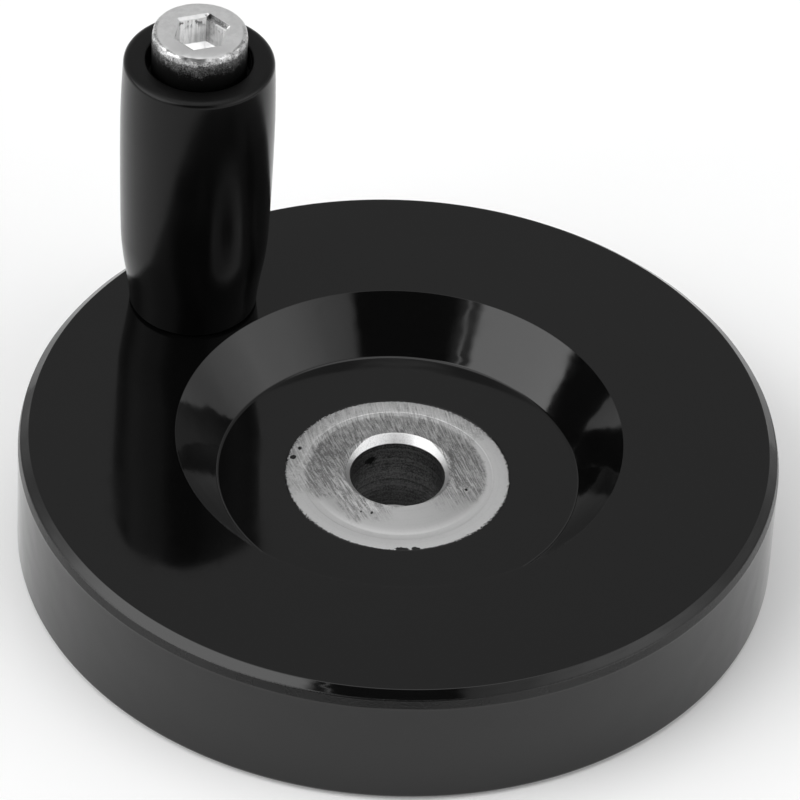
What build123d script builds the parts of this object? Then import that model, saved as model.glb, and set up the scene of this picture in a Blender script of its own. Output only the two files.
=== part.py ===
from build123d import *
import math
import os

# Machine handwheel, 80 mm, with a revolving handle.  Millimetres.
# Origin: on the bore axis, in the plane of the underside.  +Z runs up out of the
# dished face, and the handle stands on +X.

# ---- wheel moulding: outside
wheel_d = 80.0            # over the rim
wheel_h = 14.4            # underside to face
rim_foot_chamfer = 0.6    # edge break round the underside
face_bevel_w = 0.9        # bevel round the face: radial width
face_bevel_h = 0.8        # and height
flash_w = 0.35            # trimmed flash band below the bevel: radial width
flash_h = 0.65            # and height

# ---- wheel moulding: dish in the face
dish_d = 47.1             # across the dish at the face
dish_floor_d = 38.1       # across its floor
dish_depth = 5.6

# ---- wheel moulding: cored underside
web_t = 4.6               # wall under the face ring and under the dish
rim_wall_t = 5.6          # rim wall at the underside
hub_d = 33.0              # hub boss at the underside
core_draft = 2.0          # draft of the core's walls, degrees
handle_boss_d = 13.0      # boss round the threaded insert

# ---- hub bush
bush_d = 23.8
bore_d = 10.0
bore_sink_w = 0.8         # countersink at the bore's mouth: radial width
bore_sink_h = 0.85        # and depth
bore_foot_chamfer = 0.4   # chamfer at the bore's lower end
face_step_d = 20.3        # inside this circle the face is turned lower
face_step_h = 0.12
face_rise = 0.8           # the lower part rises as a blunt cone, to this above the outer ring
bush_flat_count = 6       # flats on the bush's middle that key it in the moulding
bush_collar_h = 2.5       # round collar left at each end

# ---- revolving handle
handle_inset = 9.1        # from the rim in to the handle's axis
end_play = 0.2            # gap below the grip, and again under the screw's head
grip_len = 32.2
grip_foot_d = 13.6
grip_waist_d = 14.84      # where the hollow curve above the foot turns full
grip_waist_at = 5.0       # height of that point above the grip's foot
grip_flare_d = 15.74      # where the quick flare eases into the long barrel
grip_flare_at = 9.3
grip_belly_d = 16.28      # at its fullest
grip_belly_at = 24.4
grip_end_d = 15.8         # at the end, ignoring the edge break
grip_end_chamfer = 0.4
grip_foot_chamfer = 0.2
head_pocket_d = 11.1      # counterbore that takes the screw's head
head_pocket_depth = 2.7
pocket_edge_chamfer = 0.2

# ---- handle screw
shoulder_d = 8.0
running_clearance = 0.05  # radial, between the shoulder and the grip's bore
head_d = 10.0
head_h = 6.0
head_chamfer = 0.35       # edge break round the top of the head
socket_af = 5.0           # hexagon socket, across flats
socket_depth = 4.0
socket_mouth = 0.25       # chamfer at the socket's mouth
socket_turn = 6.0         # where the tightened screw stopped, degrees from +X
thread_d = 6.0
thread_len = 11.5
thread_end_chamfer = 0.7

# ---- threaded insert
insert_d = 9.5
insert_len = 13.0
insert_flat_count = 6     # flats on the insert's middle that stop it turning
insert_collar_h = 2.5     # round collar at each end
insert_bottom_t = 0.8     # closed lower end
thread_gap = 0.05         # radial, between the screw's thread and the insert's
insert_mouth = 0.3        # chamfer at the insert's mouth

# ---- worked out from the sizes above
wheel_r = wheel_d / 2
dish_floor_z = wheel_h - dish_depth
handle_axis_r = wheel_r - handle_inset
shoulder_len = end_play + grip_len - head_pocket_depth + end_play
grip_foot_z = wheel_h + end_play
insert_foot_z = wheel_h - insert_len
handle_axis = Pos(handle_axis_r, 0, 0)
standing = (Align.CENTER, Align.CENTER, Align.MIN)


def turned(corners):
    """A solid of revolution about Z from the (radius, height) corners of its section."""
    outline = Polyline(*[(r, 0, z) for r, z in corners], close=True)
    return revolve(make_face(outline), Axis.Z)


def with_flats(blank, diameter, length, collar_h, flats):
    """A round insert whose middle, between two round collars, is cut to a polygon."""
    middle_h = length - 2 * collar_h
    sleeve = Cylinder(diameter, middle_h, align=standing)
    middle = extrude(RegularPolygon(diameter / 2, flats), middle_h)
    return blank - Pos(0, 0, collar_h) * (sleeve - middle)


def make_hub_bush():
    """The bush: ringed face with a raised centre, countersunk bore and a keyed middle."""
    bush_r = bush_d / 2
    bore_r = bore_d / 2
    step_r = face_step_d / 2
    land_z = dish_floor_z - face_step_h
    mouth_z = dish_floor_z + face_rise
    bush = turned([
        (bore_r + bore_foot_chamfer, 0),
        (bush_r, 0),
        (bush_r, dish_floor_z),
        (step_r, dish_floor_z),
        (step_r, land_z),
        (bore_r + bore_sink_w, mouth_z),
        (bore_r, mouth_z - bore_sink_h),
        (bore_r, bore_foot_chamfer),
    ])
    return with_flats(bush, bush_d, dish_floor_z, bush_collar_h, bush_flat_count)


def make_insert():
    """The threaded insert: round collars, a flatted middle and a plain-drawn thread."""
    insert_r = insert_d / 2
    hole_r = thread_d / 2 + thread_gap
    blank = turned([
        (0, 0),
        (insert_r, 0),
        (insert_r, insert_len),
        (hole_r + insert_mouth, insert_len),
        (hole_r, insert_len - insert_mouth),
        (hole_r, insert_bottom_t),
        (0, insert_bottom_t),
    ])
    blank = with_flats(blank, insert_d, insert_len, insert_collar_h, insert_flat_count)
    return Pos(0, 0, insert_foot_z) * blank


def make_core():
    """The ring-shaped hollow of the underside, with walls of even thickness above it."""
    slope = math.tan(math.radians(core_draft))
    wall_run = (dish_d - dish_floor_d) / 2
    wall_len = math.hypot(wall_run, dish_depth)
    roof_z = wheel_h - web_t
    low_roof_z = dish_floor_z - web_t
    # The dish's sloping wall, moved out and down by the web's thickness.
    slant_r = dish_floor_d / 2 + web_t * dish_depth / wall_len
    slant_z = dish_floor_z - web_t * wall_run / wall_len
    low_r = slant_r + (low_roof_z - slant_z) * wall_run / dish_depth
    high_r = slant_r + (roof_z - slant_z) * wall_run / dish_depth
    outer_r = wheel_r - rim_wall_t
    hub_r = hub_d / 2
    return turned([
        (hub_r, 0),
        (outer_r, 0),
        (outer_r - roof_z * slope, roof_z),
        (high_r, roof_z),
        (low_r, low_roof_z),
        (hub_r + low_roof_z * slope, low_roof_z),
    ])


def make_wheel(bush, insert):
    """The one-piece moulding, with the bush and the insert moulded in."""
    band_r = wheel_r - flash_w
    band_z = wheel_h - face_bevel_h
    blank = turned([
        (0, 0),
        (wheel_r - rim_foot_chamfer, 0),
        (wheel_r, rim_foot_chamfer),
        (wheel_r, band_z - flash_h),
        (band_r, band_z),
        (band_r - face_bevel_w, wheel_h),
        (dish_d / 2, wheel_h),
        (dish_floor_d / 2, dish_floor_z),
        (0, dish_floor_z),
    ])
    boss_foot_r = handle_boss_d / 2
    boss_top_r = boss_foot_r + wheel_h * math.tan(math.radians(core_draft))
    boss = handle_axis * Cone(boss_foot_r, boss_top_r, wheel_h, align=standing)
    mouth_r = bore_d / 2 + bore_sink_w
    bush_bore = Cylinder(mouth_r, dish_floor_z, align=standing)
    step_z = dish_floor_z - face_step_h
    step = Pos(0, 0, step_z) * Cylinder(face_step_d / 2, wheel_h - step_z, align=standing)
    hole_r = thread_d / 2 + thread_gap + insert_mouth
    hole_depth = insert_len - insert_bottom_t
    hole = Pos(0, 0, wheel_h - hole_depth) * Cylinder(hole_r, hole_depth, align=standing)
    seats = bush + bush_bore + step + handle_axis * (insert + hole)
    return blank - (make_core() - boss) - seats


def make_screw():
    """The handle's axle: socket head, plain shoulder and thread, drawn plain."""
    shoulder_r = shoulder_d / 2
    thread_r = thread_d / 2
    head_r = head_d / 2
    top_z = shoulder_len + head_h
    screw = turned([
        (0, -thread_len),
        (thread_r - thread_end_chamfer, -thread_len),
        (thread_r, thread_end_chamfer - thread_len),
        (thread_r, 0),
        (shoulder_r, 0),
        (shoulder_r, shoulder_len),
        (head_r, shoulder_len),
        (head_r, top_z - head_chamfer),
        (head_r - head_chamfer, top_z),
        (0, top_z),
    ])
    socket_r = socket_af / 2 / math.cos(math.pi / 6)
    mouth_r = socket_r + socket_mouth
    hexagon = RegularPolygon(socket_r, 6)
    socket = Pos(0, 0, top_z - socket_depth) * extrude(hexagon, socket_depth)
    mouth = Pos(0, 0, top_z - mouth_r) * Cone(0, mouth_r, mouth_r, align=standing)
    screw = screw - Rot(0, 0, socket_turn) * socket - mouth
    return Pos(0, 0, wheel_h) * screw


def corner_at(section, point):
    """The corner of a flat section that lies at the given point."""
    return section.vertices().sort_by_distance(point)[0]


def make_grip():
    """The barrel grip: flared foot, full belly, through bore and head pocket."""
    bore_r = shoulder_d / 2 + running_clearance
    pocket_r = head_pocket_d / 2
    pocket_z = grip_len - head_pocket_depth
    foot = Vector(grip_foot_d / 2, 0, 0)
    waist = Vector(grip_waist_d / 2, 0, grip_waist_at)
    flare = Vector(grip_flare_d / 2, 0, grip_flare_at)
    belly = Vector(grip_belly_d / 2, 0, grip_belly_at)
    end = Vector(grip_end_d / 2, 0, grip_len)
    top = TangentArc(belly, end, tangent=(0, 0, 1))
    barrel = TangentArc(belly, flare, tangent=(0, 0, -1))
    shoulder = TangentArc(flare, waist, tangent=barrel % 1)
    hollow = TangentArc(waist, foot, tangent=shoulder % 1)
    mouth = Vector(pocket_r, 0, grip_len)
    inside = Polyline(
        end,
        mouth,
        (pocket_r, 0, pocket_z),
        (bore_r, 0, pocket_z),
        (bore_r, 0, 0),
        foot,
    )
    outline = Wire([*top.edges(), *barrel.edges(), *shoulder.edges(), *hollow.edges(), *inside.edges()])
    section = make_face(outline)
    section = chamfer(corner_at(section, end), grip_end_chamfer)
    section = chamfer(corner_at(section, mouth), pocket_edge_chamfer)
    section = chamfer(corner_at(section, foot), grip_foot_chamfer)
    return Pos(0, 0, grip_foot_z) * revolve(section, Axis.Z)


def main():
    bush = make_hub_bush()
    insert = make_insert()
    pieces = {
        "wheel_body": make_wheel(bush, insert),
        "hub_bush": bush,
        "handle_insert": handle_axis * insert,
        "handle_screw": handle_axis * make_screw(),
        "handle_grip": handle_axis * make_grip(),
    }
    os.makedirs("parts", exist_ok=True)
    for node, piece in pieces.items():
        export_step(piece, "parts/" + node + ".step")


main()
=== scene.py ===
"""Models and finishes the pieces of an 80 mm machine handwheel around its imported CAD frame."""

import math
from types import SimpleNamespace

import bmesh
import bpy
from bpy.props import FloatProperty, FloatVectorProperty, IntProperty, PointerProperty
from mathutils import Matrix, Vector, noise


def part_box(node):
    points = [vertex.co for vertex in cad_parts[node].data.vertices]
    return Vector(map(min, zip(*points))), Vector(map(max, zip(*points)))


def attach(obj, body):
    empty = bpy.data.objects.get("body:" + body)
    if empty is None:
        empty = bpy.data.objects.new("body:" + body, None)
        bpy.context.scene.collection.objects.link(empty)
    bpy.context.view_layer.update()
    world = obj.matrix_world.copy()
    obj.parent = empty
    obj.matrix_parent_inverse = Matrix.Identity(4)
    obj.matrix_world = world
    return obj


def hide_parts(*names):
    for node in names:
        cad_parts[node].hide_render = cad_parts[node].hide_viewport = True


bl_info = {
    "name": "Machine Handwheel",
    "version": (1, 0, 0),
    "blender": (4, 5, 0),
    "location": "View3D > Sidebar > Handwheel",
    "description": "Models and finishes the pieces of a machine handwheel with a revolving handle",
    "category": "Object",
}

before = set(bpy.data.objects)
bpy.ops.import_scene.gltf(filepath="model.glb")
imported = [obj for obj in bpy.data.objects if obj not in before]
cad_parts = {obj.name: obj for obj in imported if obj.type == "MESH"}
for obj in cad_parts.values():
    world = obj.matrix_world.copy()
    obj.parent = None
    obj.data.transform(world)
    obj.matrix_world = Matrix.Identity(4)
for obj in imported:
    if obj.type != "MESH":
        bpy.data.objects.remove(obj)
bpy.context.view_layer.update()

MM = 0.001
TAU = 2 * math.pi
SAME = 1e-7                       # metres; vertices closer than this are merged
CENTRE = (0, 0, 0)
UP = (0, 0, 1)
MILLIMETRES = (1 / MM,) * 3       # scales object coordinates to millimetres

WHEEL_LOW, WHEEL_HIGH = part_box("wheel_body")
BUSH_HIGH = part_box("hub_bush")[1]
INSERT_LOW, INSERT_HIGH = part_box("handle_insert")
GRIP_LOW, GRIP_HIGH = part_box("handle_grip")
SCREW_LOW, SCREW_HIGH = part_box("handle_screw")
HANDLE_AXIS = Vector(((SCREW_LOW.x + SCREW_HIGH.x) / 2, 0, 0))

FRONT = math.radians(131.90)      # the side of the wheel that faces the viewer
AWAY = 1.5 * math.pi - FRONT      # turns +X to the viewer's right and +Y away from the viewer
CAMERA_AIM = Vector((3.862, -4.058, 14.4)) * MM
CAMERA_FAR = 679.41 * MM
CAMERA_RISE = math.radians(40.914)
CAMERA_ROLL = math.radians(3.213)
CAMERA_LENS, CAMERA_SENSOR = 289.49, 36


# ---------------------------------------------------------------- sizes and colours

def grey(level):
    """A grey as a colour with alpha."""
    return (level, level, level, 1)


def length(name, description, default):
    """A size in metres that a user can change."""
    return FloatProperty(
        name=name, description=description, default=default, min=0, precision=5, unit="LENGTH"
    )


def angle(name, description, degrees):
    """An angle that a user can change."""
    return FloatProperty(
        name=name, description=description, default=math.radians(degrees), subtype="ANGLE"
    )


def share(name, description, default):
    """A plain number from 0 to 1 that a user can change."""
    return FloatProperty(
        name=name, description=description, default=default, min=0, max=1, subtype="FACTOR"
    )


def shade(name, description, level):
    """A colour that a user can change."""
    return FloatVectorProperty(
        name=name, description=description, default=grey(level), size=4, min=0, max=1,
        subtype="COLOR",
    )


def count(name, description, default):
    """A number of faces or teeth that a user can change."""
    return IntProperty(name=name, description=description, default=default, min=12, max=720)


class HandwheelMoulding(bpy.types.PropertyGroup):
    """Sizes and finish of the phenolic wheel."""

    bevel_w: length("Bevel width", "Radial width of the bevel round the face", 0.93 * MM)
    bevel_h: length("Bevel height", "Height of the bevel round the face", 0.8 * MM)
    flash_w: length("Flash width", "Radial width of the trimmed flash band", 0.18 * MM)
    flash_h: length("Flash height", "Height of the trimmed flash band", 0.8 * MM)
    flash_wave: length("Flash wave", "How far the flash band's edges wander", 0.07 * MM)
    mismatch: length("Mould mismatch", "How far the rim's top sits back from the viewer", 0.17 * MM)
    foot_break: length("Foot edge", "Edge break round the underside", 0.6 * MM)
    dish_r: length("Dish radius", "Radius of the dish at the face", 23.55 * MM)
    dish_floor_r: length("Dish floor radius", "Radius of the dish's floor", 19.05 * MM)
    dish_h: length("Dish depth", "Depth of the dish", 5.6 * MM)
    web: length("Web", "Wall under the face ring and under the dish", 4.6 * MM)
    rim_wall: length("Rim wall", "Rim wall at the underside", 5.6 * MM)
    hub_r: length("Hub radius", "Radius of the hub boss at the underside", 16.5 * MM)
    boss_r: length("Boss radius", "Radius of the boss round the threaded insert", 6.5 * MM)
    draft: angle("Draft", "Draft of the core's walls", 2)
    core_round: length("Core rounding", "Rounding of the core's inner corners", 0.8 * MM)
    core_edge: length("Core edge", "Edge break round the core's mouth", 0.4 * MM)
    colour: shade("Phenolic", "Colour of the moulded phenolic", 0.0022)
    gloss: share("Roughness", "Roughness of the polished phenolic", 0.06)
    steps: count("Steps", "Faces round the wheel", 288)


class HandwheelBush(bpy.types.PropertyGroup):
    """Sizes and finish of the hub bush."""

    bore_r: length("Bore radius", "Radius of the bore", 5 * MM)
    bore_break: length("Bore edge", "Edge break at the bore's foot", 0.1 * MM)
    sink_w: length("Countersink width", "Radial width of the countersink", 0.8 * MM)
    sink_h: length("Countersink depth", "Depth of the countersink", 0.85 * MM)
    ring_h: length("Ring depth", "How far the outer ring lies below the raised centre", 0.8 * MM)
    step_r: length("Step radius", "Inside this radius the face is turned lower", 10.15 * MM)
    step_h: length("Step height", "How much lower the face is turned there", 0.03 * MM)
    land_r: length("Land radius", "Inside this radius the face rises to the bore", 9.44 * MM)
    steel: shade("Steel", "Colour of the faced steel", 0.46)
    stain: shade("Stain", "Colour of the scraped and stained steel", 0.21)
    steps: count("Steps", "Faces round the bush", 240)


class HandwheelGrip(bpy.types.PropertyGroup):
    """Sizes and finish of the revolving grip. Heights are measured from the grip's foot."""

    foot_r: length("Foot radius", "Radius at the grip's foot", 6.8 * MM)
    waist_r: length("Waist radius", "Radius where the hollow above the foot ends", 7.42 * MM)
    waist_z: length("Waist height", "Height at which the hollow above the foot ends", 5.0 * MM)
    flare_r: length("Flare radius", "Radius where the flare eases into the barrel", 7.87 * MM)
    flare_z: length("Flare height", "Height at which the flare eases into the barrel", 9.3 * MM)
    belly_r: length("Belly radius", "Radius at the grip's fullest", 8.136 * MM)
    belly_z: length("Belly height", "Height of the grip's fullest part", 24.4 * MM)
    brow_r: length("Brow radius", "Radius where the side meets the end's rounding", 7.932 * MM)
    brow_z: length("Brow height", "Height at which the side meets the end's rounding", 31.6 * MM)
    end_r: length("End radius", "Radius at the grip's end", 7.9 * MM)
    end_round: length("End rounding", "Rounding of the end's outer edge", 0.7 * MM)
    pocket_r: length("Pocket radius", "Radius of the pocket for the screw's head", 5.55 * MM)
    pocket_h: length("Pocket depth", "Depth of the pocket for the screw's head", 2.7 * MM)
    pocket_round: length("Pocket rounding", "Rounding of the pocket's edge", 0.3 * MM)
    bore_r: length("Bore radius", "Radius of the through bore", 4.05 * MM)
    gloss: share("Roughness", "Roughness of the grip's phenolic", 0.19)
    shine: share("Shine", "Strength of the grip's reflections", 0.19)
    steps: count("Steps", "Faces round the grip", 192)


class HandwheelScrew(bpy.types.PropertyGroup):
    """Sizes and finish of the handle's screw."""

    head_r: length("Head radius", "Radius of the head", 5 * MM)
    head_h: length("Head height", "Height of the head", 6 * MM)
    head_round: length("Head rounding", "Rounding of the head's upper edge", 0.22 * MM)
    shoulder_r: length("Shoulder radius", "Radius of the plain shoulder", 4 * MM)
    thread_r: length("Thread radius", "Radius of the thread", 3 * MM)
    thread_end: length("Thread end", "Chamfer at the end of the thread", 0.7 * MM)
    socket_af: length("Socket", "Hexagon socket across its flats", 5 * MM)
    socket_h: length("Socket depth", "Depth of the hexagon, above its point", 3.35 * MM)
    socket_turn: angle("Socket turn", "Where the tightened screw stopped", 2)
    flare_w: length("Socket flare width", "Radial width of the socket's flared mouth", 0.42 * MM)
    flare_h: length("Socket flare depth", "Depth of the socket's flared mouth", 0.24 * MM)
    knurl_h: length("Knurl depth", "Depth of the knurl on the head's side", 0.07 * MM)
    dent: length("Wear", "How far the worn edge of the head is beaten in", 0.30 * MM)
    dent_reach: length("Wear reach", "How far from the edge the wear reaches", 0.6 * MM)
    teeth: count("Teeth", "Teeth of the knurl", 72)
    zinc: shade("Zinc", "Colour of the zinc plating", 0.84)
    # the darkest grey down the head's side: dirt in the knurl and painted shade
    dirt_and_shade: shade("Dirt", "Colour of the dirt in the knurl", 0.012)


class HandwheelStage(bpy.types.PropertyGroup):
    """Size and colour of the floor."""

    floor_r: length("Floor radius", "Radius of the floor", 4.0)
    floor: shade("Floor", "Colour of the floor", 0.90)


# ---------------------------------------------------------------- shader maths

class Value:
    """A shader socket that Python's operators work on."""

    def __init__(self, graph, socket):
        self.graph, self.socket = graph, socket

    def math(self, operation, *terms):
        return self.graph.add("ShaderNodeMath", {"operation": operation}, dict(enumerate(terms)))

    def __add__(self, other):
        return self.math("ADD", self, other)

    def __sub__(self, other):
        return self.math("SUBTRACT", self, other)

    def __rsub__(self, other):
        return self.math("SUBTRACT", other, self)

    def __neg__(self):
        return self * -1.0

    def __mul__(self, other):
        return self.math("MULTIPLY", self, other)

    def __truediv__(self, other):
        return self.math("DIVIDE", self, other)

    def __pow__(self, other):
        return self.math("POWER", self, other)

    def larger(self, other):
        return self.math("MAXIMUM", self, other)

    def size(self):
        return self.math("ABSOLUTE", self)

    __radd__ = __add__
    __rmul__ = __mul__


class Graph:
    """The nodes of one material or world."""

    def __init__(self, tree):
        self.tree = tree
        tree.nodes.clear()

    def add(self, kind, settings=None, values=None, output=0):
        """One node: its settings first, then what its sockets hold or are linked to."""
        node = self.tree.nodes.new(kind)
        for name, value in (settings or {}).items():
            if name == "stops":
                self.fill_ramp(node.color_ramp, value)
            else:
                setattr(node, name, value)
        for name, value in (values or {}).items():
            if isinstance(value, Value):
                self.tree.links.new(value.socket, node.inputs[name])
            else:
                node.inputs[name].default_value = value
        return Value(self, node.outputs[output] if node.outputs else None)

    @staticmethod
    def fill_ramp(ramp, stops):
        """Sets a ramp's stops from (position, grey level) pairs."""
        while len(ramp.elements) < len(stops):
            ramp.elements.new(1)
        for element, (position, level) in zip(ramp.elements, stops):
            element.position = position
            element.color = grey(level)

    def place(self, centre=CENTRE, turn=0, scale=MILLIMETRES):
        """Object coordinates, centred on a point, turned about Z and scaled."""
        where = self.add("ShaderNodeTexCoord", output=3)
        subtract = {"operation": "SUBTRACT"}
        back = self.add("ShaderNodeVectorMath", subtract, {0: where, 1: centre})
        values = {"Vector": back, "Rotation": (0, 0, turn), "Scale": scale}
        return self.add("ShaderNodeMapping", {"vector_type": "POINT"}, values)

    def axes(self, vector):
        """The three parts of a vector."""
        split = self.add("ShaderNodeSeparateXYZ", values={0: vector}).socket.node
        return [Value(self, socket) for socket in split.outputs]

    def join(self, x, y, z):
        """A vector from its three parts."""
        return self.add("ShaderNodeCombineXYZ", values={0: x, 1: y, 2: z})

    def between(self, value, low, high, to_low=0.0, to_high=1.0):
        """A smooth step from to_low to to_high as value goes from low to high."""
        values = {"Value": value, "From Min": low, "From Max": high}
        values.update({"To Min": to_low, "To Max": to_high})
        return self.add("ShaderNodeMapRange", {"interpolation_type": "SMOOTHSTEP"}, values)

    def grain(self, vector, scale, detail=2.0, roughness=0.5):
        """Noise from 0 to 1, with scale marks to a unit."""
        values = {"Vector": vector, "Scale": scale, "Detail": detail, "Roughness": roughness}
        return self.add("ShaderNodeTexNoise", values=values)

    def drawn(self, x, y, z, detail=1):
        """Noise from 0 to 1 that is drawn out along the axes whose parts are small."""
        return self.grain(self.join(x, y, z), 1, detail)

    def mix(self, share_of_b, a, b):
        """Colour a turning to colour b."""
        values = {0: share_of_b, 6: a, 7: b}
        return self.add("ShaderNodeMix", {"data_type": "RGBA"}, values, output=2)

    def bump(self, height, distance, normal=None, strength=1.0):
        """A bump on top of the one that normal gives."""
        values = {"Height": height, "Distance": distance, "Strength": strength}
        if normal:
            values["Normal"] = normal
        return self.add("ShaderNodeBump", values=values)

    def finish(self, **values):
        """The Principled surface and the output."""
        names = {name.replace("_", " "): value for name, value in values.items()}
        surface = self.add("ShaderNodeBsdfPrincipled", values=names)
        self.add("ShaderNodeOutputMaterial", values={"Surface": surface})


def new_material(name):
    """A new material and its nodes, all cleared."""
    material = bpy.data.materials.new(name)
    material.use_nodes = True
    return material, Graph(material.node_tree)


def hypot(a, b):
    """The length of a flat vector from its two parts, as Values."""
    return (a * a + b * b) ** 0.5


def survey(graph, centre=CENTRE, **grains):
    """A point's place in millimetres, as the viewer faces it, and named noises from -0.5 to 0.5."""
    place = graph.place(centre, AWAY)
    x, y, z = graph.axes(place)
    noises = {name: graph.grain(place, *grain) - 0.5 for name, grain in grains.items()}
    return SimpleNamespace(x=x, y=y, z=z, radius=hypot(x, y), **noises)


# ---------------------------------------------------------------- phenolic

def phenolic(name, moulding, gloss, centre=CENTRE, wavy=0.0, shine=0.4):
    """Polished black phenolic: long flow waves, short ones on the wheel's walls, and specks."""
    material, graph = new_material(name)
    place = graph.place(centre)
    x, y, z = graph.axes(place)
    radius = hypot(x, y)
    flow = graph.grain(place, 0.09, 1)
    ripple = graph.grain(place, 0.36, 0.6) - 0.5
    specks = graph.grain(place, 5.2, 2)
    haze = graph.grain(place, 0.26, 3, 0.6)

    # The walls of the dish and the rim, the rough flash band and the grip's matt end.
    rim_r, dish_r, floor_r = WHEEL_HIGH.x / MM, moulding.dish_r / MM, moulding.dish_floor_r / MM
    dish_wall = graph.between(radius, floor_r + 0.15, floor_r + 0.75)
    dish_wall = dish_wall * graph.between(radius, dish_r - 0.15, dish_r - 0.65)
    walls = dish_wall + graph.between(radius, rim_r - 1.1, rim_r - 0.8)
    band_top = (WHEEL_HIGH.z - moulding.bevel_h) / MM
    band_foot = band_top - moulding.flash_h / MM
    band = graph.between(radius, rim_r - 1.0, rim_r - 0.8)
    band = band * graph.between(z, band_foot - 0.2, band_foot)
    band = band * graph.between(z, band_top + 0.15, band_top)
    grip_top = GRIP_HIGH.z / MM
    end_face = graph.between(z, grip_top - 0.3, grip_top - 0.1)

    colour = graph.mix(graph.between(specks, 0.62, 0.74), tuple(moulding.colour), grey(0.006))
    bumps = graph.bump(flow, 0.06 * MM)
    bumps = graph.bump(ripple * walls, wavy, bumps)
    bumps = graph.bump(specks, 0.0012 * MM, bumps, 0.5)
    bumps = graph.bump(specks * band, 0.025 * MM, bumps)
    roughness = graph.between(haze, 0.35, 0.7, gloss, gloss + 0.04)
    roughness = roughness + band * 0.2 + end_face * 0.18
    graph.finish(
        Base_Color=colour, Roughness=roughness, Normal=bumps, IOR=1.55, Specular_IOR_Level=shine
    )
    return material


# ---------------------------------------------------------------- steel of the bush

# Marks on the bush's face: centre and half size in millimetres, as the viewer faces it.
PITS = (
    (-10.48, 3.40, 0.20, 0.25), (-11.12, 1.90, 0.32, 0.34), (-11.80, -2.12, 0.20, 0.34),
    (-2.46, -6.75, 0.12, 0.16), (-3.59, -6.53, 0.08, 0.12), (-7.45, -9.50, 0.16, 0.20),
    (0.95, -11.60, 0.70, 0.26), (2.36, -11.42, 0.42, 0.26), (7.30, -2.18, 0.13, 0.16),
)


def scrape(graph, at, step_r):
    """Adds to at where the face is scraped: on its far side, and nearer the viewer on the left."""
    x, y, cloud, blotch = at.x, at.y, at.cloud, at.blotch
    dip = graph.between((x + 2.8).size(), 4.8, 1.0)
    inner = graph.between(y + 4.0 + dip * 3.3 + cloud * 3.0 + blotch * 3.0, -1.6, 1.8)
    reach = y + 1.8 + graph.between(x, -7.0, -10.5) * 1.6 - x.larger(0) * 0.95
    outer = graph.between(reach + cloud * 2.5 + blotch * 3.0, -1.4, 1.6)
    ragged = at.radius + graph.between(x, 2, 6) * 0.75 + blotch * 2.4 + at.grit * 1.6
    at.on_ring = graph.between(ragged, step_r - 0.75, step_r + 0.25)
    at.scraped = inner + (outer * 0.6 - inner) * at.on_ring
    at.back = graph.between(y, 3.0, 7.5) * graph.between(x.size(), 8.0, 4.0)
    at.across = x + y * 0.45 - y * y * 0.012          # square to the scraper's strokes


def stain(graph, at, step_r):
    """How stained the face is, from 0 for clean steel to 1, with painted shade and a painted
    highlight along the step. Adds the strokes and flecks to at.
    """
    x, y, radius, across, scraped = at.x, at.y, at.radius, at.across, at.scraped
    cloud, blotch, grit = at.cloud, at.blotch, at.grit
    strokes = graph.between(graph.drawn(across * 4.2, y * 0.25, 0), 0.48, 0.55)
    at.strokes = strokes * graph.between(blotch + cloud * 0.5 + at.back * 0.15, -0.10, 0.04)
    at.flecks = graph.between(grit, -0.08, 0.18)
    pale = graph.between(cloud, -0.1, 0.15)
    tone = scraped * (1.0 - at.strokes * 0.85) * (1.0 - at.flecks * 0.3) * (1.0 - pale * 0.3)

    # Long scratches at the front left.
    scratches = graph.between(graph.drawn(across * 4.0, y * 0.06, 4), 0.50, 0.60)
    scratches = scratches * graph.between((across + 7.0).size(), 1.8, 0.9)
    scratches = scratches * graph.between((y + 3.9).size(), 3.2, 1.9)
    tone = tone.larger(scratches * 0.85)

    # A dark ring inside the step, painted shade; a light line along the step on its far side, a
    # painted highlight; and a light spot along it.
    ring = graph.between((radius - 9.1 + blotch * 0.8).size(), 0.5, 0.1)
    ring = ring * scraped * (1.0 - at.on_ring) * graph.between(x.size(), 3.5, 7.5)
    step_highlight = graph.between((radius - step_r - 0.07 + blotch * 0.5).size(), 0.2, 0.05)
    step_highlight = step_highlight * graph.between(y + blotch * 12, -1.0, 2.5)
    spot = graph.between(hypot(x + 0.63, y - 10.23) + grit * 0.3, 0.42, 0.32)
    tone = (tone + ring * 0.35) * (1.0 - step_highlight * 0.6) * (1.0 - spot)

    # Combed strokes behind the bore, in place of the plain stain.
    combed = graph.between(graph.drawn(across * 5.0, y * 0.4, 9) + grit * 0.12, 0.44, 0.56)
    combed = (combed - 0.45) * graph.between(blotch + cloud, -0.20, 0.04) + 0.45
    combed = (0.62 - combed * 0.85) * (1.0 - at.on_ring * 0.5)
    tone = tone * (1.0 - at.back) + combed * at.back
    speckle = (at.fine * 3.2 + grit * 2.8) * (0.08 + scraped * 0.85)
    return tone * 1.2075 + speckle + blotch * (0.2 + scraped * 2.0)


def bore_wall_and_shade(graph, at):
    """The bore's wall, painted dark and darker still towards its foot as painted shade inside the
    hole, with turning marks, which it adds to at, and a smudge.
    """
    x, y, z = at.x, at.y, at.z
    at.hoops = graph.drawn(z * 2.8, at.blotch * 0.8, 0, 3)
    marks = at.hoops + at.fine * 1.1 + at.grit * 0.5 + at.blotch * 0.4
    # painted shade: the wall is painted dark all over, and darker still towards the bore's foot
    # below
    wall = graph.mix(graph.between(marks, 0.25, 0.75), grey(0.05), grey(0.19))
    wall = graph.mix(graph.between(z, 5.5, 1.0) * 0.6, wall, grey(0.03))
    off_x, off_z = x + 2.95, z - 7.0
    off = (off_x * off_x + off_z * off_z + graph.between(y, 3.0, 1.0) * 9) ** 0.5
    return graph.mix(graph.between(off + at.grit * 1.2, 0.65, 0.35), wall, grey(0.006))


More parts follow.
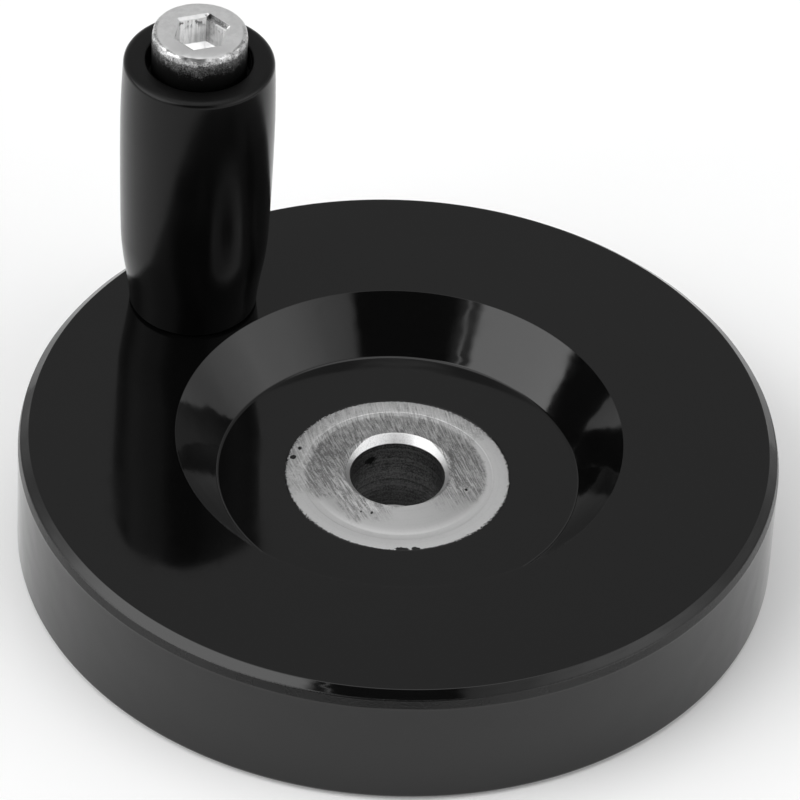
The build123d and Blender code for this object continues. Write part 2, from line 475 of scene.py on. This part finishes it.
def resin_creep(graph, at):
    """Where resin covers the steel: over the frayed outline and in the pits."""
    frayed = (at.fine * 0.9 + at.grit * 0.35) * graph.between(at.x.size(), 2, 9, 0.35, 1.0)
    out_r = BUSH_HIGH.x / MM
    resin = graph.between(at.radius + frayed, out_r - 0.16, out_r - 0.10)
    for x, y, wide, high in PITS:
        off = hypot((at.x - x) / wide, (at.y - y) / high)
        resin = resin.larger(graph.between(off + at.grit * 1.1, 1.15, 0.95))
    return resin


def turned_steel(name, bush):
    """Faced steel: smooth in front, scraped and stained behind, with a painted highlight in the
    countersink, painted shade in the bore and a flat outer ring painted lighter.
    """
    material, graph = new_material(name)
    at = survey(graph, cloud=(0.30, 3), blotch=(0.9, 3), grit=(3.6, 3, 0.65), fine=(6.0, 2, 0.7))
    x, y, radius, grit, fine = at.x, at.y, at.radius, at.grit, at.fine
    step_r, bore_r = bush.step_r / MM, bush.bore_r / MM
    mouth_r = bore_r + bush.sink_w / MM
    scrape(graph, at, step_r)
    tone = stain(graph, at, step_r)

    # The countersink, narrower at its sides, the bore, and the rest of the face.
    sides = graph.between(x.size(), 2.6, 5.4) * 0.42
    sink = graph.between(radius + sides + grit * 0.15, mouth_r + 0.10, mouth_r)
    bore = graph.between(radius, bore_r + 0.06, bore_r + 0.02)
    scraped = at.scraped * (1.0 - sink)
    level = graph.between(radius, 8.3, 9.8)           # the face is flat outside, conical inside; the flat outer ring is painted lighter, painted light to match the brighter-lit cone
    clean = graph.mix(level, tuple(bush.steel), grey(0.66))
    stained = graph.mix(level, tuple(bush.stain), grey(0.28))
    colour = graph.mix(tone * (1.0 - sink), clean, stained)

    # Bright scratches, turning rings and a painted highlight on the countersink's far side.
    gleams = graph.drawn(at.across * 5.0, y * 0.6, 14, 2) + grit * 0.55 + fine * 0.65
    gleams = graph.between(gleams, 0.50, 0.60) * scraped
    colour = graph.mix(gleams * (0.40 + at.back * 0.15), colour, grey(0.95))
    rings = graph.drawn(radius * 3.5, 0, 0, 3)
    colour = graph.mix(graph.between(rings, 0.45, 0.75) * 0.14, colour, grey(0.34))
    # painted highlight: the countersink's far side is painted near-white, less at its sides
    bright = graph.between(y + grit * 3, 0.6, 3.2) * (0.95 - graph.between(fine, -0.05, 0.2) * 0.35)
    bright = bright * (1.0 - graph.between((x - 0.2).size(), 1.8, 0.6) * 0.3)
    bright = bright * (1.0 - graph.between(x, 1.0, 4.6) * 0.55)
    colour = graph.mix(sink * bright, colour, grey(0.95))
    colour = graph.mix(bore, colour, bore_wall_and_shade(graph, at))
    resin = resin_creep(graph, at)
    colour = graph.mix(resin, colour, grey(0.004))

    bumps = graph.bump(rings, 0.003 * MM)
    bumps = graph.bump((at.strokes + at.flecks * 0.5) * scraped, 0.006 * MM, bumps)
    bumps = graph.bump(fine * scraped, 0.03 * MM, bumps)
    bumps = graph.bump(at.hoops * bore, 0.012 * MM, bumps)
    bumps = graph.bump(resin, -0.05 * MM, bumps)
    roughness = 0.56 - bore * 0.10 - resin * 0.35
    graph.finish(Base_Color=colour, Metallic=1.0 - resin, Roughness=roughness, Normal=bumps)
    return material


# ---------------------------------------------------------------- zinc and brass

def torn_ledge(graph, at, screw, depth):
    """Where the ledge torn along one edge of the socket is, and its colour."""
    way = AWAY - math.pi / 2 + screw.socket_turn      # from the screw's axis to the ledge
    out = at.x * math.cos(way) + at.y * math.sin(way)
    along = at.x * math.sin(way) - at.y * math.cos(way)
    ledge = graph.between(out, 2.46, 2.56) * graph.between(at.radius, 3.7, 3.5)
    ledge = ledge * graph.between(depth, 0.05, 0.12)
    lip = graph.between(out, 2.80, 2.70) * graph.between(along + at.mottle * 2, -0.9, -0.3)
    torn = graph.mix(graph.between(at.mottle + at.grit, -0.1, 0.15), grey(0.22), grey(0.50))
    return ledge, graph.mix(lip, torn, grey(0.9))


def zinc_plate(name, screw):
    """Zinc plating: satin on top, worn bright in front, dirty and painted with shade down the side,
    broached inside, its socket's floor painted light.
    """
    material, graph = new_material(name)
    at = survey(graph, HANDLE_AXIS, cloud=(0.7, 2), mottle=(1.7, 3), grit=(6.5, 3, 0.7))
    x, y, radius, cloud, mottle, grit = at.x, at.y, at.radius, at.cloud, at.mottle, at.grit
    depth = SCREW_HIGH.z / MM - at.z
    head_r, socket_h = screw.head_r / MM, screw.socket_h / MM
    streaks = graph.drawn(x * 3.2, y * 3.2, at.z * 0.3, 3) - 0.5

    # The top, greyer towards the viewer.
    colour = graph.mix(graph.between(mottle, -0.2, 0.2), tuple(screw.zinc), grey(0.76))
    colour = graph.mix(graph.between(y + mottle * 2, -1.0, -3.6) * 0.55, colour, grey(0.55))

    # The worn edge on the viewer's side, with scuffs, nicks and a groove painted as a dark patch of
    # painted shade.
    near = graph.between(y + mottle * 2, 1.8, -0.4)
    worn = near * graph.between(radius, head_r - 0.60, head_r - 0.38)
    worn = worn * graph.between(depth + cloud * 1.2 + mottle * 0.8, 1.5, 0.9)
    scuffs = graph.between(mottle + grit * 0.7, -0.06, 0.10)
    nicks = graph.between(grit - mottle * 0.5, 0.02, 0.14)
    # painted shade: a dark patch where a shallow groove dents the front edge
    groove_shade = graph.between((x + 0.3).size(), 1.7, 0.9) * graph.between(y, -3.6, -4.2)
    groove_shade = groove_shade * graph.between((radius - head_r + 0.34).size(), 0.26, 0.12)
    colour = graph.mix(worn, colour, grey(0.48))
    colour = graph.mix(worn * scuffs, colour, grey(0.88))
    colour = graph.mix(worn * nicks * 0.75, colour, grey(0.2))
    colour = graph.mix(groove_shade, colour, grey(0.14))

    # Grime down the side, with painted shade: darker further down and on the viewer's side.
    side = graph.between(radius, head_r - 0.25, head_r - 0.15)
    grime_and_shade = depth + grit * 3.4 + mottle * 1.5 + cloud * 1.2 + streaks * 0.8 - (1.0 - near) * 1.3
    # dirt and painted shade, both growing darker down the side
    colour = graph.mix(side * graph.between(grime_and_shade, 0.1, 1.1) * 0.85, colour, grey(0.06))
    colour = graph.mix(side * graph.between(grime_and_shade, 0.9, 2.2), colour, tuple(screw.dirt_and_shade))

    # The socket's broached walls, its floor, painted near-white as painted light, and the ledge
    # torn beside it.
    socket = graph.between(radius, 3.40, 3.30) * graph.between(depth, 0.22, 0.34)
    walls = socket * graph.between(depth, socket_h + 0.05, socket_h - 0.01)
    floor = socket - walls
    broached = graph.mix(graph.between(streaks + grit * 0.3, -0.14, 0.14), grey(0.72), grey(0.98))
    scars = graph.between(mottle - streaks * 0.5 + cloud * 0.4, 0.06, 0.14)
    scars = scars * graph.between(depth, 1.6, 0.7)
    broached = graph.mix(scars * 0.8, broached, grey(0.08))
    colour = graph.mix(walls, colour, broached)
    # painted light: the socket's floor is painted near-white, deep in the dim hole
    colour = graph.mix(floor, colour, grey(0.95))
    ledge, torn = torn_ledge(graph, at, screw, depth)
    colour = graph.mix(ledge, colour, torn)

    bumps = graph.bump(mottle, 0.008 * MM)
    bumps = graph.bump((mottle + grit * 0.5) * worn, 0.05 * MM, bumps)
    bumps = graph.bump(streaks * walls + grit * side * 0.6, 0.03 * MM, bumps)
    roughness = 0.50 - worn * 0.18 - walls * 0.08 - floor * 0.18 + side * 0.1
    graph.finish(Base_Color=colour, Metallic=1.0, Roughness=roughness, Normal=bumps)
    return material


def brass(name):
    """Plain turned brass."""
    material, graph = new_material(name)
    mottle = graph.grain(graph.place(HANDLE_AXIS), 0.9, 2)
    light, dark = (0.60, 0.42, 0.18, 1), (0.48, 0.33, 0.14, 1)
    colour = graph.mix(graph.between(mottle, 0.3, 0.7), light, dark)
    graph.finish(Base_Color=colour, Metallic=1.0, Roughness=0.32)
    return material


# ---------------------------------------------------------------- turning and cutting

def chain(corners, closed, arc=6):
    """A flat section from (radius, height, edge break) corners, each break rounded by a bevel."""
    bm = bmesh.new()
    points = [bm.verts.new((r, 0, z)) for r, z, _ in corners]
    after = points[1:] + points[:1] if closed else points[1:]
    for a, b in zip(points, after):
        bm.edges.new((a, b))
    for point, (_, _, edge_break) in zip(points, corners):
        if edge_break:
            bmesh.ops.bevel(
                bm, geom=[point], offset=edge_break, offset_type="ABSOLUTE", affect="VERTICES",
                segments=arc, profile=0.5, material=-1, clamp_overlap=False,
            )
    bmesh.ops.remove_doubles(bm, verts=bm.verts, dist=SAME)
    return bm


def turn(bm, steps):
    """Spins a section about Z into a closed mesh."""
    bmesh.ops.spin(
        bm, geom=bm.verts[:] + bm.edges[:], cent=CENTRE, axis=UP, dvec=(0, 0, 0),
        angle=TAU, steps=steps, use_merge=True, use_normal_flip=False, use_duplicate=False,
    )
    bmesh.ops.remove_doubles(bm, verts=bm.verts, dist=SAME)
    bmesh.ops.recalc_face_normals(bm, faces=bm.faces)


def rotate(bm, turned):
    """Turns a mesh about Z."""
    bmesh.ops.rotate(bm, cent=CENTRE, matrix=Matrix.Rotation(turned, 3, "Z"), verts=bm.verts)


def new_object(bm, name, material=None, centre=CENTRE):
    """A finished mesh as an object at the origin, with its place in its mesh."""
    bmesh.ops.translate(bm, vec=centre, verts=bm.verts)
    mesh = bpy.data.meshes.new(name)
    bm.to_mesh(mesh)
    bm.free()
    obj = bpy.data.objects.new(name, mesh)
    bpy.context.scene.collection.objects.link(obj)
    if material:
        mesh.materials.append(material)
    return obj


def cut(obj, tool, operation="DIFFERENCE"):
    """Cuts obj with tool, or joins them, and removes the tool."""
    modifier = obj.modifiers.new("cut", "BOOLEAN")
    modifier.object = tool
    modifier.operation = operation
    modifier.solver = "EXACT"
    graph = bpy.context.evaluated_depsgraph_get()
    mesh = bpy.data.meshes.new_from_object(obj.evaluated_get(graph))
    obj.modifiers.clear()
    old = obj.data
    obj.data = mesh
    bpy.data.meshes.remove(old)
    bpy.data.objects.remove(tool)


def shade_smooth(obj, sharp=math.radians(28)):
    """Smooth shading with sharp edges, and flats that stay flat beside a rounding."""
    obj.data.shade_smooth()
    obj.data.set_sharp_from_angle(angle=sharp)
    modifier = obj.modifiers.new("flat faces first", "WEIGHTED_NORMAL")
    modifier.keep_sharp = True


def settle(obj, body, slot, *nodes):
    """Smooths a finished piece, ties it to its body and hides the nodes it stands for. Its slot is
    not used.
    """
    shade_smooth(obj)
    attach(obj, body)
    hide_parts(*nodes)


# ---------------------------------------------------------------- pieces

class HANDWHEEL_OT_wheel(bpy.types.Operator):
    """Make the phenolic wheel"""

    bl_idname = "handwheel.wheel"
    bl_label = "Wheel"

    def execute(self, context):
        s = context.scene.handwheel_moulding
        top, rim_r, bush_r = WHEEL_HIGH.z, WHEEL_HIGH.x, BUSH_HIGH.x
        floor_z = top - s.dish_h
        band_r, band_z = rim_r - s.flash_w, top - s.bevel_h
        bm = chain([
            (bush_r, 0, 0),
            *self.core(s, top, rim_r),
            (rim_r - s.foot_break, 0, 0.2 * MM),
            (rim_r, s.foot_break, 0.2 * MM),
            (rim_r, band_z - s.flash_h, 0.06 * MM),
            (band_r, band_z, 0.10 * MM),
            (band_r - s.bevel_w, top, 0.05 * MM),
            (s.dish_r, top, 0.02 * MM),
            (s.dish_floor_r, floor_z, 0.2 * MM),
            (bush_r, floor_z, 0.06 * MM),
        ], closed=True)
        turn(bm, s.steps)
        self.wander(bm, s, rim_r, band_z)
        finish = phenolic("black_phenolic", s, s.gloss, wavy=0.030 * MM)
        wheel = new_object(bm, "wheel_moulding", finish)
        roof = top - s.web
        boss_h = roof + 1 * MM                        # runs up into the web
        boss = self.cone(s.boss_r, s.boss_r + roof * math.tan(s.draft), boss_h, boss_h / 2)
        cut(wheel, new_object(boss, "boss"), "UNION")
        seat_r = (INSERT_HIGH.x - INSERT_LOW.x) / 2
        seat = self.cone(seat_r, seat_r, 2 * (top - INSERT_LOW.z), top)
        cut(wheel, new_object(seat, "insert_seat"))
        settle(wheel, "wheel", "wheel_phenolic", "wheel_body")
        return {"FINISHED"}

    @staticmethod
    def core(s, top, rim_r):
        """The corners of the ring-shaped hollow, whose roof follows the dish at an even wall."""
        slope = math.tan(s.draft)
        run, drop = s.dish_r - s.dish_floor_r, s.dish_h
        slant = math.hypot(run, drop)
        floor_z = top - s.dish_h
        roof, low_roof = top - s.web, floor_z - s.web
        slant_r = s.dish_floor_r + s.web * drop / slant
        slant_z = floor_z - s.web * run / slant
        outer_r = rim_r - s.rim_wall
        return [
            (s.hub_r, 0, s.core_edge),
            (s.hub_r + low_roof * slope, low_roof, s.core_round),
            (slant_r + (low_roof - slant_z) * run / drop, low_roof, s.core_round),
            (slant_r + (roof - slant_z) * run / drop, roof, s.core_round),
            (outer_r - roof * slope, roof, s.core_round),
            (outer_r, 0, s.core_edge),
        ]

    @staticmethod
    def wander(bm, s, rim_r, band_z):
        """Lets the flash band's edges wander a little, and shifts what is above the band."""
        aside = Matrix.Rotation(-AWAY, 3, "Z") @ Vector((0, s.mismatch, 0))
        low, high, slack = band_z - s.flash_h, band_z, 0.2 * MM
        waves_round, waves_up = 9, 0.7 / MM
        for vert in bm.verts:
            radius = math.hypot(vert.co.x, vert.co.y)
            if radius > rim_r - 0.4 * MM and low - slack < vert.co.z < high + slack:
                around = vert.co.xy / radius * waves_round
                wave = noise.noise(Vector((around.x, around.y, vert.co.z * waves_up)))
                vert.co.z += s.flash_wave * wave
            if radius > rim_r - 2 * MM and vert.co.z > band_z - 0.3 * MM:
                vert.co += aside

    @staticmethod
    def cone(foot_r, top_r, height, middle_z):
        """A capped cone or cylinder on the handle's axis."""
        bm = bmesh.new()
        bmesh.ops.create_cone(
            bm, cap_ends=True, segments=96, radius1=foot_r, radius2=top_r, depth=height,
            matrix=Matrix.Translation(HANDLE_AXIS + Vector((0, 0, middle_z))),
        )
        return bm


class HANDWHEEL_OT_bush(bpy.types.Operator):
    """Make the steel bush in the hub"""

    bl_idname = "handwheel.bush"
    bl_label = "Bush"

    def execute(self, context):
        s = context.scene.handwheel_bush
        out_r, mouth_z = BUSH_HIGH.x, BUSH_HIGH.z
        ring_z = mouth_z - s.ring_h
        land_z = ring_z - s.step_h
        bm = chain([
            (s.bore_r + s.bore_break, 0, 0),
            (out_r, 0, 0.15 * MM),
            (out_r, ring_z, 0.08 * MM),
            (s.step_r, ring_z, 0.04 * MM),
            (s.step_r - 3 * s.step_h, land_z, 0.04 * MM),
            (s.land_r, land_z, 0.1 * MM),
            (s.bore_r + s.sink_w, mouth_z, 0.06 * MM),
            (s.bore_r, mouth_z - s.sink_h, 0.06 * MM),
            (s.bore_r, s.bore_break, 0),
        ], closed=True, arc=4)
        turn(bm, s.steps)
        bush = new_object(bm, "bush_sleeve", turned_steel("turned_steel", s))
        settle(bush, "wheel", "bush_steel", "hub_bush")
        return {"FINISHED"}


class HANDWHEEL_OT_insert(bpy.types.Operator):
    """Finish the brass insert under the handle"""

    bl_idname = "handwheel.insert"
    bl_label = "Insert"

    def execute(self, context):
        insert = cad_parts["handle_insert"]
        insert.data.materials.clear()
        insert.data.materials.append(brass("turned_brass"))
        return {"FINISHED"}


class HANDWHEEL_OT_grip(bpy.types.Operator):
    """Make the revolving grip"""

    bl_idname = "handwheel.grip"
    bl_label = "Grip"

    def execute(self, context):
        s = context.scene.handwheel_grip
        low, high = GRIP_LOW.z, GRIP_HIGH.z
        bm = chain([
            (s.bore_r, low, 0.2 * MM),
            (s.foot_r, low, 0.2 * MM),
            *self.barrel(s, low),
            (s.end_r, high, s.end_round),
            (s.pocket_r, high, s.pocket_round),
            (s.pocket_r, high - s.pocket_h, 0.1 * MM),
            (s.bore_r, high - s.pocket_h, 0.1 * MM),
        ], closed=True)
        turn(bm, s.steps)
        moulding = context.scene.handwheel_moulding
        finish = phenolic("grip_phenolic", moulding, s.gloss, HANDLE_AXIS, shine=s.shine)
        grip = new_object(bm, "grip_barrel", finish, HANDLE_AXIS)
        settle(grip, "grip", "grip_phenolic", "handle_grip")
        return {"FINISHED"}

    @staticmethod
    def barrel(s, low):
        """The side's tangent corners: each break runs up to the next, so the arcs join smoothly."""
        joints = [
            (s.foot_r, 0), (s.waist_r, s.waist_z), (s.flare_r, s.flare_z), (s.belly_r, s.belly_z),
            (s.brow_r, s.brow_z),
        ]
        arcs = list(zip(joints, joints[1:]))
        chords = [math.atan2(r1 - r0, z1 - z0) for (r0, z0), (r1, z1) in arcs]
        leans = [0.0] * len(joints)         # radius gained per unit of height; none at the belly
        for i in (2, 1, 0):
            leans[i] = math.tan(2 * chords[i] - math.atan(leans[i + 1]))
        leans[4] = math.tan(2 * chords[3])
        nearly = 0.999                      # so that neighbouring breaks stop short of each other
        corners = []
        for ((r0, z0), (r1, z1)), lean, next_lean in zip(arcs, leans, leans[1:]):
            z = (r1 - r0 + lean * z0 - next_lean * z1) / (lean - next_lean)
            r = r0 + lean * (z - z0)
            corners.append((r, low + z, math.hypot(r - r0, z - z0) * nearly))
        return corners


class HANDWHEEL_OT_screw(bpy.types.Operator):
    """Make the handle's socket screw"""

    bl_idname = "handwheel.screw"
    bl_label = "Screw"

    def execute(self, context):
        s = context.scene.handwheel_screw
        foot, top = SCREW_LOW.z, SCREW_HIGH.z
        under, shoulder_z = top - s.head_h, WHEEL_HIGH.z
        knurl_low, knurl_high = under + 0.6 * MM, top - 0.95 * MM
        bm = chain([
            (0, foot, 0),
            (s.thread_r - s.thread_end, foot, 0),
            (s.thread_r, foot + s.thread_end, 0),
            (s.thread_r, shoulder_z, 0),
            (s.shoulder_r, shoulder_z, 0.1 * MM),
            (s.shoulder_r, under, 0),
            (s.head_r, under, 0.1 * MM),
            (s.head_r, knurl_low - 0.2 * MM, 0),
            (s.head_r, knurl_low, 0),
            (s.head_r, knurl_high, 0),
            (s.head_r, knurl_high + 0.25 * MM, 0),
            (s.head_r, top, s.head_round),
            (s.head_r - 0.8 * MM, top, 0),
            (0, top, 0),
        ], closed=False)
        turn(bm, 2 * s.teeth)
        self.knurl(bm, s, knurl_low, knurl_high)
        self.wear(bm, s, top)
        screw = new_object(bm, "handle_bolt", zinc_plate("zinc_plate", s), HANDLE_AXIS)
        for name, tool in (("socket", self.socket(s)), ("scar", self.scar(s))):
            cut(screw, new_object(tool, name, centre=HANDLE_AXIS + Vector((0, 0, top))))
        settle(screw, "wheel", "screw_zinc", "handle_screw")
        return {"FINISHED"}

    @staticmethod
    def knurl(bm, s, low, high):
        """Presses every second column of the head's side inwards."""
        columns, slack = 2 * s.teeth, 0.01 * MM
        for vert in bm.verts:
            radius = math.hypot(vert.co.x, vert.co.y)
            column = round(math.atan2(vert.co.y, vert.co.x) / TAU * columns)
            inside = low - slack < vert.co.z < high + slack
            if inside and radius > s.head_r - slack and column % 2:
                vert.co.xy *= (radius - s.knurl_h) / radius

    @staticmethod
    def wear(bm, s, top):
        """Beats the head's upper edge in unevenly, most on the viewer's side."""
        dents, pecks = 0.6 / MM, 1.9 / MM
        for vert in bm.verts:
            radius = math.hypot(vert.co.x, vert.co.y)
            near = 1 - math.hypot(s.head_r - radius, top - vert.co.z) / s.dent_reach
            front = 0.5 + 0.5 * math.cos(math.atan2(vert.co.y, vert.co.x) - FRONT)
            uneven = 0.5 * noise.noise(vert.co * dents) + 0.3 * noise.noise(vert.co * pecks)
            push = s.dent * near * (0.12 + front ** 2) * (0.8 + uneven)
            if near > 0 and push > 0:
                vert.co.xy *= (radius - push) / radius
                vert.co.z -= push * 0.7

    @staticmethod
    def scar(s):
        """A ledge torn along one edge of the socket, hung from the head's top. Millimetres."""
        long, above = 2.8, 0.5
        inner, outer = (-2.35, -0.66), (-3.02, -0.56)     # place and height of the floor's edges
        bm = bmesh.new()
        bmesh.ops.create_cube(bm, size=1)
        for vert in bm.verts:
            y, floor = inner if vert.co.y > 0 else outer
            vert.co = Vector((vert.co.x * long, y, floor if vert.co.z < 0 else above)) * MM
        rotate(bm, s.socket_turn)
        return bm

    @staticmethod
    def socket(s):
        """The hexagon with its flared mouth and pointed floor, hung from the head's top."""
        corner_r = s.socket_af / 2 / math.cos(math.pi / 6)
        cone, tip_r = math.radians(31), 0.05 * MM      # the point's slope and its blunt end
        point = s.socket_h + s.socket_af / 2 * math.tan(cone)
        bm = bmesh.new()
        bmesh.ops.create_circle(bm, segments=6, radius=corner_r + 2 * s.flare_w, cap_ends=False)
        rotate(bm, s.socket_turn + math.pi / 6)
        bmesh.ops.translate(bm, vec=(0, 0, s.flare_h), verts=bm.verts)
        mouth = ring = bm.edges[:]
        levels = ((corner_r, -s.flare_h), (corner_r, -s.socket_h), (tip_r, -point))
        for radius, z in levels:
            made = bmesh.ops.extrude_edge_only(bm, edges=ring)["geom"]
            verts = {item for item in made if isinstance(item, bmesh.types.BMVert)}
            edges = [item for item in made if isinstance(item, bmesh.types.BMEdge)]
            ring = [edge for edge in edges if verts.issuperset(edge.verts)]
            for vert in verts:
                vert.co.xy *= radius / vert.co.xy.length
                vert.co.z = z
        bmesh.ops.edgeloop_fill(bm, edges=mouth)
        bmesh.ops.edgeloop_fill(bm, edges=ring)
        bmesh.ops.recalc_face_normals(bm, faces=bm.faces)
        return bm


# ---------------------------------------------------------------- stage

# The right soft box: how bright it is at each turn from the viewer, in degrees.
RIGHT_BOX = (
    (26, 0), (30, 0.42), (45, 0.62), (58, 0.9), (68, 1), (85, 1), (93, 0.7), (101, 0.45),
    (110, 0.2), (122, 0),
)


class HANDWHEEL_OT_stage(bpy.types.Operator):
    """Make the floor, the soft boxes round it and the camera"""

    bl_idname = "handwheel.stage"
    bl_label = "Stage"

    def execute(self, context):
        self.floor(context.scene.handwheel_stage)
        self.studio(context.scene)
        self.camera(context.scene)
        context.scene.view_settings.view_transform = "Standard"
        return {"FINISHED"}

    @staticmethod
    def floor(s):
        """White paper, which glows a little only where it is seen directly or in a reflection."""
        material, graph = new_material("floor_paper")
        tone = graph.between(graph.grain(graph.place(), 0.003, 2), 0.3, 0.7)
        paler = tuple(min(1, c + 0.01) for c in s.floor[:3]) + (1,)
        camera, glossy, through = (graph.add("ShaderNodeLightPath", output=i) for i in (0, 3, 6))
        glow = (camera + glossy + through) * 0.08
        graph.finish(
            Base_Color=graph.mix(tone, tuple(s.floor), paler), Roughness=0.9,
            Emission_Color=graph.join(glow, glow, glow), Emission_Strength=1.0,
        )
        bm = bmesh.new()
        bmesh.ops.create_circle(bm, cap_ends=True, segments=96, radius=s.floor_r)
        bmesh.ops.recalc_face_normals(bm, faces=bm.faces)
        floor = new_object(bm, "floor", material, (0, 0, WHEEL_LOW.z - 0.02 * MM))

    @staticmethod
    def studio(scene):
        """Soft light from all round, a box on each side, one overhead, a dim gap by the viewer.

        Degrees: turn goes round from the viewer to their right, rise goes up from the horizon."""
        world = bpy.data.worlds.new("studio")
        world.use_nodes = True
        graph = Graph(world.node_tree)
        way = graph.add("ShaderNodeTexCoord")
        values = {"Vector": way, "Rotation": (0, 0, AWAY)}
        way = graph.add("ShaderNodeMapping", {"vector_type": "POINT"}, values)
        right, away, up = graph.axes(way)
        degree = math.degrees(1)
        turn = right.math("ARCTAN2", right, -away) * degree
        rise = up.math("ARCSINE", up) * degree

        gap = graph.between(turn.size(), 32, 24)
        gap = gap * graph.between(rise, 8, 22) * graph.between(rise, 74, 62)
        sky = graph.between(rise, 2, 30, 0.66, 0.37) * (1.0 - gap * 0.9)

        leaning = turn - (rise - 34.0) * 0.62         # the left box's near edge leans
        left = graph.between(leaning, -37, -41) * graph.between(turn, -122, -85)
        left = left + graph.between((leaning + 33.4).size(), 1.1, 0.4) * 0.6
        left = left * graph.between(rise, 6, 16) * graph.between(rise, 66, 56) * 2.5

        start, span = 20, 110
        stops = [((at - start) / span, level) for at, level in RIGHT_BOX]
        panel = graph.add("ShaderNodeValToRGB", {"stops": stops}, {"Fac": (turn - start) / span})
        panel = panel * graph.between(rise, 4, 14) * graph.between(rise, 70, 28) * 1.38

        high = math.radians(88)
        values = {0: way, 1: (0, math.cos(high), math.sin(high))}
        overhead = graph.add("ShaderNodeVectorMath", {"operation": "DOT_PRODUCT"}, values, output=1)
        outside, inside = math.cos(math.radians(30)), math.cos(math.radians(23))
        overhead = graph.between(overhead, outside, inside) * 1.1

        values = {"Color": grey(1), "Strength": sky + left + panel + overhead}
        light = graph.add("ShaderNodeBackground", values=values)
        graph.add("ShaderNodeOutputWorld", values={"Surface": light})
        scene.world = world

    @staticmethod
    def camera(scene):
        """Looks at the wheel from above its front."""
        lens = bpy.data.cameras.new("camera")
        lens.lens, lens.sensor_width = CAMERA_LENS, CAMERA_SENSOR
        lens.clip_start, lens.clip_end = 0.05, 20
        obj = bpy.data.objects.new("camera", lens)
        turned = (
            Matrix.Rotation(FRONT + math.pi / 2, 4, "Z")
            @ Matrix.Rotation(math.pi / 2 - CAMERA_RISE, 4, "X")
            @ Matrix.Rotation(CAMERA_ROLL, 4, "Z")
        )
        back = Matrix.Translation((0, 0, CAMERA_FAR))
        obj.matrix_world = Matrix.Translation(CAMERA_AIM) @ turned @ back
        scene.collection.objects.link(obj)
        scene.camera = obj


# ---------------------------------------------------------------- add-on

GROUPS = {
    "handwheel_moulding": HandwheelMoulding,
    "handwheel_bush": HandwheelBush,
    "handwheel_grip": HandwheelGrip,
    "handwheel_screw": HandwheelScrew,
    "handwheel_stage": HandwheelStage,
}
OPERATORS = (
    HANDWHEEL_OT_wheel,
    HANDWHEEL_OT_bush,
    HANDWHEEL_OT_insert,
    HANDWHEEL_OT_grip,
    HANDWHEEL_OT_screw,
    HANDWHEEL_OT_stage,
)


class HANDWHEEL_PT_sidebar(bpy.types.Panel):
    """Lists the handwheel's pieces and their sizes"""

    bl_idname = "HANDWHEEL_PT_sidebar"
    bl_label = "Machine Handwheel"
    bl_space_type = "VIEW_3D"
    bl_region_type = "UI"
    bl_category = "Handwheel"

    def draw(self, context):
        for operator in OPERATORS:
            self.layout.operator(operator.bl_idname)
        for group, kind in GROUPS.items():
            box = self.layout.box()
            for name in kind.__annotations__:
                box.prop(getattr(context.scene, group), name)


def register():
    for group, kind in GROUPS.items():
        bpy.utils.register_class(kind)
        setattr(bpy.types.Scene, group, PointerProperty(type=kind))
    for kind in (*OPERATORS, HANDWHEEL_PT_sidebar):
        bpy.utils.register_class(kind)


def unregister():
    for kind in (HANDWHEEL_PT_sidebar, *reversed(OPERATORS)):
        bpy.utils.unregister_class(kind)
    for group, kind in reversed(GROUPS.items()):
        delattr(bpy.types.Scene, group)
        bpy.utils.unregister_class(kind)


def main():
    """Makes every piece and the stage."""
    register()
    bpy.ops.handwheel.wheel()
    bpy.ops.handwheel.bush()
    bpy.ops.handwheel.insert()
    bpy.ops.handwheel.grip()
    bpy.ops.handwheel.screw()
    bpy.ops.handwheel.stage()


if __name__ == "__main__":
    main()
